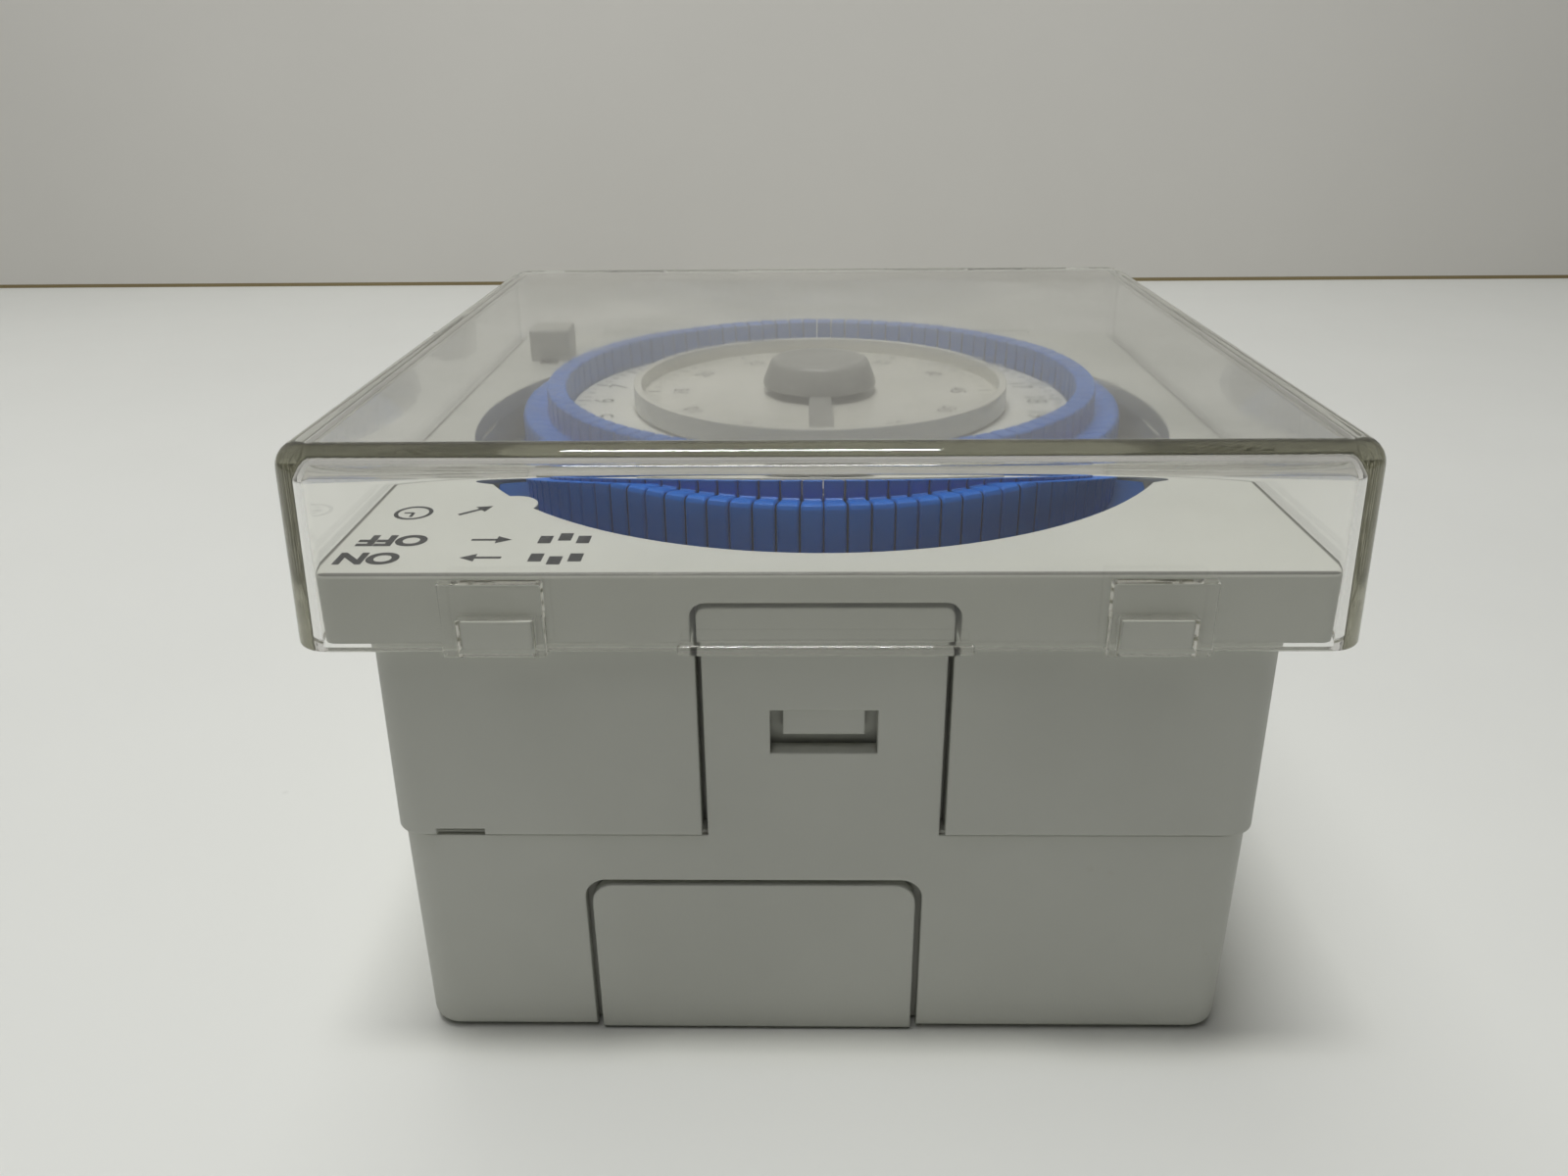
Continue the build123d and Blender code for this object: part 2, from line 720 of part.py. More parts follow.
def make_motion_wheel():
    wheel = gear(motion_teeth, motion_module, motion_wheel_bottom, motion_wheel_bottom + gear_face,
                 180 + 180 / motion_teeth)
    pinion_bottom = dial_gear_bottom - pinion_extra
    pinion_top = carrier_bottom - running_play
    pinion = gear(motion_pinion_teeth, drive_module, pinion_bottom, pinion_top, 180)
    arbor = rod(motion_arbor_radius, bearing_floor + running_play, pinion_top)
    return Location((motion_distance, 0, 0)) * (wheel + pinion + arbor)


def make_tripper_carrier():
    carrier = rod(carrier_radius, carrier_bottom, carrier_floor_top)
    carrier += gear(dial_teeth, drive_module, dial_gear_bottom, carrier_bottom, 180 / dial_teeth)
    hub_radius = bush_radius + 2 * bush_wall
    carrier += rod(hub_radius, carrier_floor_top, dial_bottom)
    wall_outer = tripper_toe_radius - carrier_wall_gap
    carrier += ring(wall_outer, wall_outer - carrier_wall, carrier_floor_top, dial_bottom)
    groove_inner = peg_inner_radius - groove_play
    groove_outer = peg_inner_radius + peg_width + tripper_travel + groove_play
    carrier -= ring(groove_outer, groove_inner, carrier_floor_top - peg_height, carrier_floor_top)
    return carrier - rod(bush_radius, dial_gear_bottom, dial_bottom)


def make_dial_bush():
    return ring(bush_radius, post_radius + running_play, dial_gear_bottom, dial_bottom)


def make_dial_disc():
    return ring(dial_radius, post_radius + running_play, dial_bottom, dial_top)


def make_dial_post():
    post = rod(post_radius, plate_low, drum_bottom) + rod(post_tip_radius, drum_bottom, drum_face)
    return post - rod(arbor_radius + running_play, plate_low, drum_face)


def make_minute_drum():
    drum = rod(drum_radius, drum_bottom, drum_top) - rod(drum_radius - drum_rim, drum_face, drum_top)
    return drum - rod(post_tip_radius, drum_bottom, drum_face)


def make_minute_hand():
    hand = rod(hand_hub_radius, hand_bottom, knob_bottom)
    hand += box(-hand_width / 2, hand_width / 2, -hand_reach, 0, hand_bottom, knob_bottom)
    return hand - rod(arbor_radius, hand_bottom, knob_bottom)


def make_setting_knob():
    lower = Location((0, 0, knob_bottom)) * Circle(knob_radius)
    upper = Location((0, 0, knob_bottom + knob_height)) * Circle(knob_top_radius)
    knob = loft([lower, upper])
    knob = fillet(knob.faces().sort_by(Axis.Z)[-1].edges(), knob_round)
    return knob - rod(arbor_radius, knob_bottom, knob_bottom + arbor_in_knob)


def make_tripper_block(index):
    """One hour of trippers: each is a wedge with a step, a tall inner end, a toe and a peg."""
    profile = Polyline(
        (tripper_outer_radius, tripper_ledge_top - tripper_round),
        (tripper_outer_radius, tripper_bottom),
        (peg_inner_radius + peg_width, tripper_bottom),
        (peg_inner_radius + peg_width, tripper_bottom - peg_height),
        (peg_inner_radius, tripper_bottom - peg_height),
        (peg_inner_radius, tripper_bottom),
        (tripper_toe_radius, tripper_bottom),
        (tripper_toe_radius, toe_top),
        (tripper_inner_radius, toe_top),
        (tripper_inner_radius, tripper_tall_top),
        (tripper_step_radius, tripper_tall_top),
        (tripper_step_radius, tripper_ledge_top),
        (tripper_outer_radius - tripper_round, tripper_ledge_top))
    bend = tripper_round * (1 - cos(radians(45)))
    edge = ThreePointArc(
        (tripper_outer_radius - tripper_round, tripper_ledge_top),
        (tripper_outer_radius - bend, tripper_ledge_top - bend),
        (tripper_outer_radius, tripper_ledge_top - tripper_round))
    section = Plane.XZ * make_face([profile, edge])
    wedge = revolve(section, Axis.Z, tripper_step - tripper_gap_angle)
    block = Part()
    for i in range(trippers_per_block):
        start = (index * trippers_per_block + i) * tripper_step + tripper_gap_angle / 2
        block += Rot(0, 0, start) * wedge
    return block


def make_lever_pivot():
    return rod(lever_pin_radius, plate_low, plate_bottom - running_play, lever_pivot_x, lever_pivot_y)


def make_switch_lever():
    hub = rod(lever_hub_radius, lever_bottom, lever_arm_top, lever_pivot_x, lever_pivot_y)
    elbow_x, elbow_y = polar(elbow_radius, lever_azimuth)
    span_x = elbow_x - lever_pivot_x
    span_y = elbow_y - lever_pivot_y
    span = hypot(span_x, span_y)
    along = Plane(origin=(lever_pivot_x, lever_pivot_y, lever_arm_bottom), x_dir=(span_x, span_y, 0),
                  z_dir=(0, 0, 1))
    half = lever_arm_width / 2
    arm = along * box(0, span + half, -half, half, 0, lever_arm_height)
    nose_half = lever_nose_thickness / 2
    nose = box(nose_radius, elbow_radius, -nose_half, nose_half, lever_arm_bottom, lever_arm_top)
    tail_half = lever_tail_width / 2
    tail_end = lever_pivot_y - lever_tail_length - tail_half
    tail = box(lever_pivot_x - tail_half, lever_pivot_x + tail_half, tail_end, lever_pivot_y,
               lever_bottom, lever_bottom + lever_tail_height)
    lever = hub + arm + Rot(0, 0, lever_azimuth) * nose + tail
    bore = lever_pin_radius + running_play
    return lever - rod(bore, lever_bottom, lever_arm_top, lever_pivot_x, lever_pivot_y)


def plunger_block(play, x0, x1):
    half = plunger_size / 2 + play
    return box(x0, x1, plunger_y - half, plunger_y + half, plunger_z - half, plunger_z + half)


def make_microswitch_plunger():
    return plunger_block(0, plunger_tip, plunger_tip + plunger_length)


def make_microswitch_body():
    half = microswitch_width / 2
    body = box(microswitch_face, microswitch_face + microswitch_length, plunger_y - half, plunger_y + half,
               plate_high, plate_high + microswitch_height)
    end = plunger_tip + plunger_length + plunger_stick_out + plunger_over
    return body - plunger_block(running_play, microswitch_face, end)


def make_override_slider():
    top = plate_top + override_play + override_height
    block = rounded_block(override_width, override_length, override_round, plate_top + override_play, top,
                          override_x, override_y)
    block = fillet(block.faces().sort_by(Axis.Z)[-1].edges(), override_round / 2)
    stem_half = override_stem / 2
    foot_half = override_foot / 2
    foot_top = plate_bottom - override_play
    stem = box(override_x - stem_half, override_x + stem_half, override_y - stem_half, override_y + stem_half,
               foot_top - override_foot_height, plate_top + override_play)
    foot = box(override_x - foot_half, override_x + foot_half, override_y - foot_half, override_y + foot_half,
               foot_top - override_foot_height, foot_top)
    return block + stem + foot


pieces = {
    "terminal_base": make_terminal_base(),
    "terminal_block": make_terminal_block(),
    "terminal_clamps": make_terminal_clamps(),
    "terminal_screws": make_terminal_screws(),
    "socket_contacts": make_socket_contacts(),
    "front_shutter": make_shutter(),
    "rear_shutter": Rot(0, 0, 180) * make_shutter(),
    "upper_case": make_upper_case(),
    "clear_cover": make_clear_cover(),
    "module_back": make_module_back(),
    "module_back_screws": make_module_back_screws(),
    "plug_blades": make_plug_blades(),
    "movement_plate": make_movement_plate(),
    "movement_pillars": make_movement_pillars(),
    "movement_screws": make_movement_screws(),
    "motor_can": make_motor_can(),
    "motor_coil": make_motor_coil(),
    "motor_pinion": make_motor_pinion(),
    "minute_wheel": make_minute_wheel(),
    "centre_arbor": make_centre_arbor(),
    "motion_wheel": make_motion_wheel(),
    "tripper_carrier": make_tripper_carrier(),
    "dial_bush": make_dial_bush(),
    "dial_disc": make_dial_disc(),
    "dial_post": make_dial_post(),
    "minute_drum": make_minute_drum(),
    "minute_hand": make_minute_hand(),
    "setting_knob": make_setting_knob(),
    "switch_lever": make_switch_lever(),
    "lever_pivot": make_lever_pivot(),
    "microswitch_body": make_microswitch_body(),
    "microswitch_plunger": make_microswitch_plunger(),
    "override_slider": make_override_slider(),
}
for block in range(block_count):
    pieces[f"tripper_{block + 1:02d}"] = make_tripper_block(block)

os.makedirs("parts", exist_ok=True)
for name, piece in pieces.items():
    export_step(piece, os.path.join("parts", name + ".step"))
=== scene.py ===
import bpy
import bmesh
import random
from math import cos, pi, radians, sin
from mathutils import Matrix, Vector


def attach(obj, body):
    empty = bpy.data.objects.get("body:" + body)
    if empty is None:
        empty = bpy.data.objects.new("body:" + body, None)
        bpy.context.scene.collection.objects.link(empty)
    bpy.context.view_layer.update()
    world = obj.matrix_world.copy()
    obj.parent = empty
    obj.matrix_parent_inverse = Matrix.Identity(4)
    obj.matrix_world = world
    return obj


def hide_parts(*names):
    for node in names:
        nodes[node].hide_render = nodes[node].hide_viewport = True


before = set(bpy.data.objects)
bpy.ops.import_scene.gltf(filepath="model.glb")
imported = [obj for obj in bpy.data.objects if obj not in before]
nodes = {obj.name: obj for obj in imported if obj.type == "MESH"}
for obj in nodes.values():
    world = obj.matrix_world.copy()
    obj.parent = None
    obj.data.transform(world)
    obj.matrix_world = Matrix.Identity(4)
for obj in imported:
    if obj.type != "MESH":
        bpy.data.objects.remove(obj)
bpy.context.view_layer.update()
scene = bpy.context.scene
lightBounces = 64               # light runs a long way inside the clear cover
scene.view_settings.view_transform = "Standard"
scene.cycles.max_bounces = lightBounces
scene.cycles.glossy_bounces = lightBounces
scene.cycles.transmission_bounces = lightBounces
pick = 1e-5                     # how near a corner has to lie to be picked by its place
print("stage frame:", len(nodes), "nodes")


# small helpers for meshes

def addPiece(name, bm, material, body=None, smooth=35):
    mesh = bpy.data.meshes.new(name)
    bm.to_mesh(mesh)
    bm.free()
    piece = bpy.data.objects.new(name, mesh)
    scene.collection.objects.link(piece)
    mesh.materials.append(material)
    mesh.shade_smooth()
    mesh.set_sharp_from_angle(angle=radians(smooth))
    if body:
        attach(piece, body)
    return piece


def addBlock(bm, low, high):
    made = bmesh.ops.create_cube(bm, size=1)["verts"]
    size = [b - a for a, b in zip(low, high)]
    middle = [(a + b) / 2 for a, b in zip(low, high)]
    bmesh.ops.scale(bm, vec=size, verts=made)
    bmesh.ops.translate(bm, vec=middle, verts=made)
    return made


def edgesOf(verts):                 # each edge once, in the same order every run
    return list(dict.fromkeys(e for v in verts for e in v.link_edges))


def bevelEdges(bm, edges, offset, segments):
    bmesh.ops.bevel(bm, geom=edges, offset=offset, segments=segments, profile=0.5, affect="EDGES",
                    material=-1)


def addText(bm, words, size, matrix, weight=0.0):
    curve = bpy.data.curves.new("figure", "FONT")
    curve.body = words
    curve.size = 1.0                # filled at full size and then scaled down, which keeps the holes open
    curve.offset = weight / size    # above zero it is bolder than the plain face
    curve.align_x = "CENTER"
    curve.align_y = "CENTER"
    figure = bpy.data.objects.new("figure", curve)
    scene.collection.objects.link(figure)
    bpy.context.view_layer.update()
    graph = bpy.context.evaluated_depsgraph_get()
    mesh = bpy.data.meshes.new_from_object(figure.evaluated_get(graph))
    mesh.transform(matrix @ Matrix.Scale(size, 4))
    bm.from_mesh(mesh)
    bpy.data.objects.remove(figure)
    bpy.data.curves.remove(curve)
    bpy.data.meshes.remove(mesh)


def addBar(bm, width, length, matrix):
    made = bmesh.ops.create_grid(bm, x_segments=1, y_segments=1, size=0.5)["verts"]
    bmesh.ops.scale(bm, vec=(width, length, 1), verts=made)
    bmesh.ops.transform(bm, matrix=matrix, verts=made)


def faceUp(bm):                     # printed films all face the reader
    bm.normal_update()
    for face in bm.faces:
        if face.normal.z < 0:
            face.normal_flip()


# helpers for shader nodes

def rgb(red, green, blue):          # colour as read off a screen, 0 to 255
    def flat(v):
        v /= 255
        return v / 12.92 if v <= 0.04045 else ((v + 0.055) / 1.055) ** 2.4
    return (flat(red), flat(green), flat(blue), 1.0)


blank = (0, 0, 0, 1)
full = (1, 1, 1, 1)


def addNode(tree, kind, **values):
    made = tree.nodes.new("ShaderNode" + kind)
    for name, value in values.items():
        made.inputs[name].default_value = value
    return made


def addRamp(tree, source, low, high, lowColour, highColour):
    ramp = tree.nodes.new("ShaderNodeValToRGB")
    ramp.color_ramp.elements[0].position = low
    ramp.color_ramp.elements[1].position = high
    ramp.color_ramp.elements[0].color = lowColour
    ramp.color_ramp.elements[1].color = highColour
    tree.links.new(source, ramp.inputs["Fac"])
    return ramp.outputs["Color"]


def addMix(tree, factor, first, second):
    mix = tree.nodes.new("ShaderNodeMix")
    mix.data_type = "RGBA"
    tree.links.new(factor, mix.inputs[0])
    for socket, value in ((mix.inputs[6], first), (mix.inputs[7], second)):
        if isinstance(value, tuple):
            socket.default_value = value
        else:
            tree.links.new(value, socket)
    return mix.outputs[2]


def addNoise(tree, place, scale, detail=3.0, roughness=0.5):
    noise = addNode(tree, "TexNoise", Scale=scale, Detail=detail, Roughness=roughness)
    tree.links.new(place, noise.inputs["Vector"])
    return noise.outputs["Fac"]


def addSpread(tree, source, low, high, start=0.3, end=0.7):     # the plain start and end suit noise
    spread = addNode(tree, "MapRange", **{"From Min": start, "From Max": end, "To Min": low, "To Max": high})
    tree.links.new(source, spread.inputs["Value"])
    return spread.outputs["Result"]


def addMath(tree, operation, *values):
    made = tree.nodes.new("ShaderNodeMath")
    made.operation = operation
    for socket, value in zip(made.inputs, values):
        if isinstance(value, float):
            socket.default_value = value
        else:
            tree.links.new(value, socket)
    return made.outputs["Value"]


def addBump(tree, height, strength, distance):
    bump = addNode(tree, "Bump", Strength=strength, Distance=distance)
    tree.links.new(height, bump.inputs["Height"])
    return bump


def splitPlace(tree, place):
    spot = tree.nodes.new("ShaderNodeSeparateXYZ")
    tree.links.new(place, spot.inputs["Vector"])
    return spot.outputs


def chooseShader(tree, ray, first, second):     # the second shader for this kind of ray, else the first
    choose = tree.nodes.new("ShaderNodeMixShader")
    tree.links.new(ray, choose.inputs[0])
    tree.links.new(first, choose.inputs[1])
    tree.links.new(second, choose.inputs[2])
    return choose.outputs["Shader"]


def startMaterial(name):
    material = bpy.data.materials.new(name)
    material.use_nodes = True
    tree = material.node_tree
    place = tree.nodes.new("ShaderNodeTexCoord").outputs["Object"]
    return material, tree, tree.nodes["Principled BSDF"], place


# moulded plastics

mouldLook = {"tone": (0.3, 0.7), "seamShadeMask": (0.15, 0.75), "marks": 120, "markRange": (0.66, 0.84),
             "markMost": (0.4, 0.4, 0.4, 1), "finer": 6, "grainHeight": 0.0001, "samples": 6}   # for all
# the darker tones that these looks lay in seams and corners are painted shade
caseLook = {"main": rgb(204, 205, 197), "shade": rgb(197, 198, 190), "cloud": 45, "rough": (0.40, 0.52),
            "grain": 5200, "grainDepth": 0.10, "edge": 0.00028, "shine": 0.4,
            "seamShade": rgb(104, 98, 84), "seamShadeReach": 0.0009, "stain": rgb(172, 162, 140),
            "rim": (0.03995, 0.04012), "rimTrim": 0.00022, "rimTop": (0.04898, 0.04906), "rimMost": 0.85,
            "rimShadowTone": rgb(78, 76, 70)}
blueLook = {"main": rgb(26, 104, 194), "shade": rgb(22, 94, 182), "cloud": 380, "rough": (0.34, 0.46),
            "grain": 4200, "grainDepth": 0.05, "edge": 0.00010, "shine": 0.25,
            "seamShade": rgb(22, 38, 74), "seamShadeReach": 0.0004}
# a darker copy of the blue: painted shade for the carrier below the trippers
trayShadeLook = {"main": rgb(18, 66, 124), "shade": rgb(16, 58, 112), "cloud": 200, "rough": (0.42, 0.55),
            "grain": 3600, "grainDepth": 0.08, "edge": 0.00015, "shine": 0.25}
dialLook = {"main": rgb(226, 226, 219), "shade": rgb(216, 216, 208), "cloud": 120, "rough": (0.36, 0.46),
            "grain": 3600, "grainDepth": 0.06, "edge": 0.00015, "shine": 0.4,
            "seamShade": rgb(140, 138, 128), "seamShadeReach": 0.0010}
drumLook = {"main": rgb(226, 225, 216), "shade": rgb(216, 215, 205), "cloud": 90, "rough": (0.14, 0.26),
            "grain": 1500, "grainDepth": 0.03, "edge": 0.00020, "shine": 0.6,
            "glow": 0.25, "glowReach": (0.0008, 0.0008, 0.0007)}
knobLook = {"main": rgb(150, 150, 145), "shade": rgb(138, 138, 133), "cloud": 260, "rough": (0.32, 0.44),
            "grain": 3000, "grainDepth": 0.08, "edge": 0.00015, "shine": 0.4,
            "seamShade": rgb(84, 82, 76), "seamShadeReach": 0.0006}
sliderLook = {**knobLook, "main": rgb(178, 178, 170), "shade": rgb(166, 166, 159)}
darkLook = {"main": rgb(62, 62, 60), "shade": rgb(48, 48, 47), "cloud": 150, "rough": (0.42, 0.58),
            "grain": 3000, "grainDepth": 0.10, "edge": 0.00020, "shine": 0.4}


def addGrime(tree, drift, look):    # painted shade: darkens seams and corners that ambient occlusion finds, tinted brown like grime on the case
    hollow = addNode(tree, "AmbientOcclusion", Distance=look["seamShadeReach"])
    hollow.samples = mouldLook["samples"]
    hollow.only_local = True
    seamShadeMask = addRamp(tree, hollow.outputs["AO"], *mouldLook["seamShadeMask"], full, blank)
    return addMix(tree, seamShadeMask, drift, look["seamShade"])


def addRimLine(tree, place, drift, look):       # painted shadow, with some grime: a dark line where the plate's edge meets the cover
    spot = splitPlace(tree, place)
    side = addMath(tree, "ABSOLUTE", spot["X"])
    end = addMath(tree, "SUBTRACT", addMath(tree, "ABSOLUTE", spot["Y"]), look["rimTrim"])
    reach = addSpread(tree, addMath(tree, "MAXIMUM", side, end), 0, look["rimMost"], *look["rim"])
    high = addSpread(tree, spot["Z"], 0, 1, *look["rimTop"])
    return addMix(tree, addMath(tree, "MULTIPLY", reach, high), drift, look["rimShadowTone"])


def mouldedPlastic(name, look):
    material, tree, skin, place = startMaterial(name)
    link = tree.links.new
    cloud = addNoise(tree, place, look["cloud"], detail=5)
    drift = addRamp(tree, cloud, *mouldLook["tone"], look["shade"], look["main"])
    # painted shade in seams and corners
    if look.get("seamShade"):
        drift = addGrime(tree, drift, look)
    if look.get("stain"):           # faint brown marks of handling
        marks = addNoise(tree, place, mouldLook["marks"], detail=6, roughness=0.7)
        marks = addRamp(tree, marks, *mouldLook["markRange"], blank, mouldLook["markMost"])
        drift = addMix(tree, marks, drift, look["stain"])
    # painted shadow round the plate's edge
    if look.get("rim"):
        drift = addRimLine(tree, place, drift, look)
    link(drift, skin.inputs["Base Color"])
    fine = addNoise(tree, place, look["cloud"] * mouldLook["finer"], detail=4)
    link(addSpread(tree, fine, *look["rough"]), skin.inputs["Roughness"])
    edge = addNode(tree, "Bevel", Radius=look["edge"])      # softens the moulding's corners
    edge.samples = mouldLook["samples"]
    grain = addNoise(tree, place, look["grain"], detail=2)
    grain = addBump(tree, grain, look["grainDepth"], mouldLook["grainHeight"])
    link(edge.outputs["Normal"], grain.inputs["Normal"])
    link(grain.outputs["Normal"], skin.inputs["Normal"])
    skin.inputs["Specular IOR Level"].default_value = look["shine"]
    if look.get("glow"):            # light goes a little way into the pale plastic
        skin.inputs["Subsurface Weight"].default_value = look["glow"]
        skin.inputs["Subsurface Radius"].default_value = look["glowReach"]
    return material


# metals inside the case

metalLook = {"tone": (0.35, 0.7), "scratch": 0.12, "scratchHeight": 0.00005}   # for all three
brassLook = {"bright": rgb(214, 178, 104), "dull": rgb(168, 132, 74), "lay": (1, 1, 8), "lines": 900,
             "stain": 160, "rough": (0.22, 0.38)}
steelLook = {"bright": rgb(196, 197, 198), "dull": rgb(158, 159, 160), "lay": (8, 1, 1), "lines": 700,
             "stain": 120, "rough": (0.26, 0.42)}
copperLook = {"bright": rgb(196, 118, 76), "dull": rgb(150, 82, 50), "lay": (1, 1, 12), "lines": 2600,
              "stain": 240, "rough": (0.28, 0.40)}


def brushedMetal(name, look):
    material, tree, skin, place = startMaterial(name)
    link = tree.links.new
    stretch = addNode(tree, "Mapping", Scale=look["lay"])
    link(place, stretch.inputs["Vector"])
    lines = addNoise(tree, stretch.outputs["Vector"], look["lines"], detail=6, roughness=0.6)
    stain = addNoise(tree, place, look["stain"], detail=4)
    link(addRamp(tree, stain, *metalLook["tone"], look["dull"], look["bright"]), skin.inputs["Base Color"])
    link(addSpread(tree, lines, *look["rough"]), skin.inputs["Roughness"])
    bump = addBump(tree, lines, metalLook["scratch"], metalLook["scratchHeight"])
    link(bump.outputs["Normal"], skin.inputs["Normal"])
    skin.inputs["Metallic"].default_value = 1.0
    return material


# clear plastic of the cover, with dust and fine scratches on its top

coverLook = {"body": (0.985, 0.985, 0.975, 1), "haze": (0.95, 0.95, 0.935, 1),
             "dusty": (0.77, 0.77, 0.76, 1), "dustier": (0.58, 0.58, 0.565, 1),
             "cleanRange": (0.4, 0.75), "dustRange": (0.35, 0.75), "dustFrom": 0.0574, "dustTo": 0.0592,
             "rough": (0.004, 0.018), "topRough": (0.008, 0.026), "smear": 70,
             "hair": 0.03, "hairLay": (1, 14, 1), "hairTurn": 34, "hairScale": 60, "hairRange": (0.60, 0.64),
             "ripple": 0.04, "rippleScale": 38, "rippleHeight": 0.0006,
             "bend": 1.49, "tint": (0.98, 0.98, 0.972, 1),
             "deep": rgb(200, 199, 182), "depth": 24}


def clearPlastic(name, look):
    material, tree, skin, place = startMaterial(name)
    link = tree.links.new
    smear = addNoise(tree, place, look["smear"], detail=6, roughness=0.62)
    dust = addSpread(tree, splitPlace(tree, place)["Z"], 0, 1, look["dustFrom"], look["dustTo"])
    slant = addNode(tree, "Mapping", Rotation=(0, 0, radians(look["hairTurn"])), Scale=look["hairLay"])
    link(place, slant.inputs["Vector"])
    hair = addNoise(tree, slant.outputs["Vector"], look["hairScale"])
    hair = addRamp(tree, hair, *look["hairRange"], blank, full)
    rubbed = addMath(tree, "MULTIPLY_ADD", hair, look["hair"], addSpread(tree, smear, *look["topRough"]))
    rough = addMath(tree, "MULTIPLY_ADD", rubbed, dust, addSpread(tree, smear, *look["rough"]))
    link(rough, skin.inputs["Roughness"])
    clean = addRamp(tree, smear, *look["cleanRange"], look["body"], look["haze"])
    dull = addRamp(tree, smear, *look["dustRange"], look["dusty"], look["dustier"])
    link(addMix(tree, dust, clean, dull), skin.inputs["Base Color"])
    ripple = addNoise(tree, place, look["rippleScale"], detail=1)
    ripple = addBump(tree, ripple, look["ripple"], look["rippleHeight"])
    link(ripple.outputs["Normal"], skin.inputs["Normal"])
    skin.inputs["Transmission Weight"].default_value = 1.0
    skin.inputs["IOR"].default_value = look["bend"]
    path = tree.nodes.new("ShaderNodeLightPath")            # lamps and the room's light shine through
    through = addNode(tree, "BsdfTransparent", Color=look["tint"]).outputs["BSDF"]
    surface = skin.outputs["BSDF"]
    for ray in ("Is Shadow Ray", "Is Diffuse Ray"):
        surface = chooseShader(tree, path.outputs[ray], surface, through)
    out = tree.nodes["Material Output"]
    link(surface, out.inputs["Surface"])
    depth = addNode(tree, "VolumeAbsorption", Color=look["deep"], Density=look["depth"])
    link(depth.outputs["Volume"], out.inputs["Volume"])
    return material


# inks of the scales and marks

inkLook = {"wear": 900, "tone": (0.35, 0.72), "rough": (0.42, 0.6), "bump": 0.1, "height": 0.00005}
blackInk = {"main": rgb(18, 18, 20), "thin": rgb(44, 44, 44)}
greyInk = {"main": rgb(56, 56, 56), "thin": rgb(96, 96, 93)}


def printInk(name, look):
    material, tree, skin, place = startMaterial(name)
    link = tree.links.new
    thin = addNoise(tree, place, inkLook["wear"], detail=4, roughness=0.6)
    link(addRamp(tree, thin, *inkLook["tone"], look["main"], look["thin"]), skin.inputs["Base Color"])
    link(addSpread(tree, thin, *inkLook["rough"]), skin.inputs["Roughness"])
    bump = addBump(tree, thin, inkLook["bump"], inkLook["height"])
    link(bump.outputs["Normal"], skin.inputs["Normal"])
    return material


grey = mouldedPlastic("greyPlastic", caseLook)
blue = mouldedPlastic("bluePlastic", blueLook)
trayInShade = mouldedPlastic("trayShadedPlastic", trayShadeLook)
white = mouldedPlastic("whitePlastic", dialLook)
pale = mouldedPlastic("palePlastic", drumLook)
knobGrey = mouldedPlastic("knobPlastic", knobLook)
sliderGrey = mouldedPlastic("sliderPlastic", sliderLook)
dark = mouldedPlastic("darkPlastic", darkLook)
brass = brushedMetal("brass", brassLook)
steel = brushedMetal("steel", steelLook)
copper = brushedMetal("copperWire", copperLook)
clear = clearPlastic("clearPlastic", coverLook)
inkBlack = printInk("blackInk", blackInk)
inkGrey = printInk("greyInk", greyInk)
print("stage materials:", len(bpy.data.materials))

finishes = {
    "terminal_base": grey, "upper_case": grey, "front_shutter": grey, "rear_shutter": grey,
    "module_back": grey, "clear_cover": clear, "dial_disc": white, "minute_drum": pale,
    "minute_hand": knobGrey, "setting_knob": knobGrey, "override_slider": sliderGrey,
    "tripper_carrier": trayInShade, "terminal_block": dark, "microswitch_body": dark,
    "microswitch_plunger": knobGrey, "motion_wheel": brass, "motor_pinion": brass,
    "terminal_clamps": brass, "socket_contacts": brass, "plug_blades": brass, "dial_bush": brass,
    "dial_post": brass, "minute_wheel": brass, "motor_coil": copper,
}
for name, piece in nodes.items():       # the trippers are blue and what isn't named is steel
    finish = finishes.get(name, blue if name.startswith("tripper_") else steel)
    piece.data.materials.clear()
    piece.data.materials.append(finish)
print("stage finishes:", len(finishes), "named")


# blue trippers, four to the hour, each with a raised rim at its outer end

tripperShape = {"inner": 0.0268, "step": 0.0288, "outer": 0.0314, "toe": 0.0234, "bottom": 0.0446,
                "toeTop": 0.0491, "ledge": 0.0510, "rim": 0.0516, "top": 0.0536,
                "pegIn": 0.0248, "pegOut": 0.0268, "pegBottom": 0.0433,
                "front": 0.0007, "frontParts": 3, "corner": 0.00016, "cornerParts": 1, "sharp": 0.6,
                "pitch": 3.75, "gap": 0.25, "perHour": 4, "hours": 24, "smooth": 30,
                "sway": 0.04, "slack": 0.00006, "sink": 0.00004, "seed": 7}


def atHeight(edge, height):
    return all(abs(v.co.z - height) < pick for v in edge.verts)


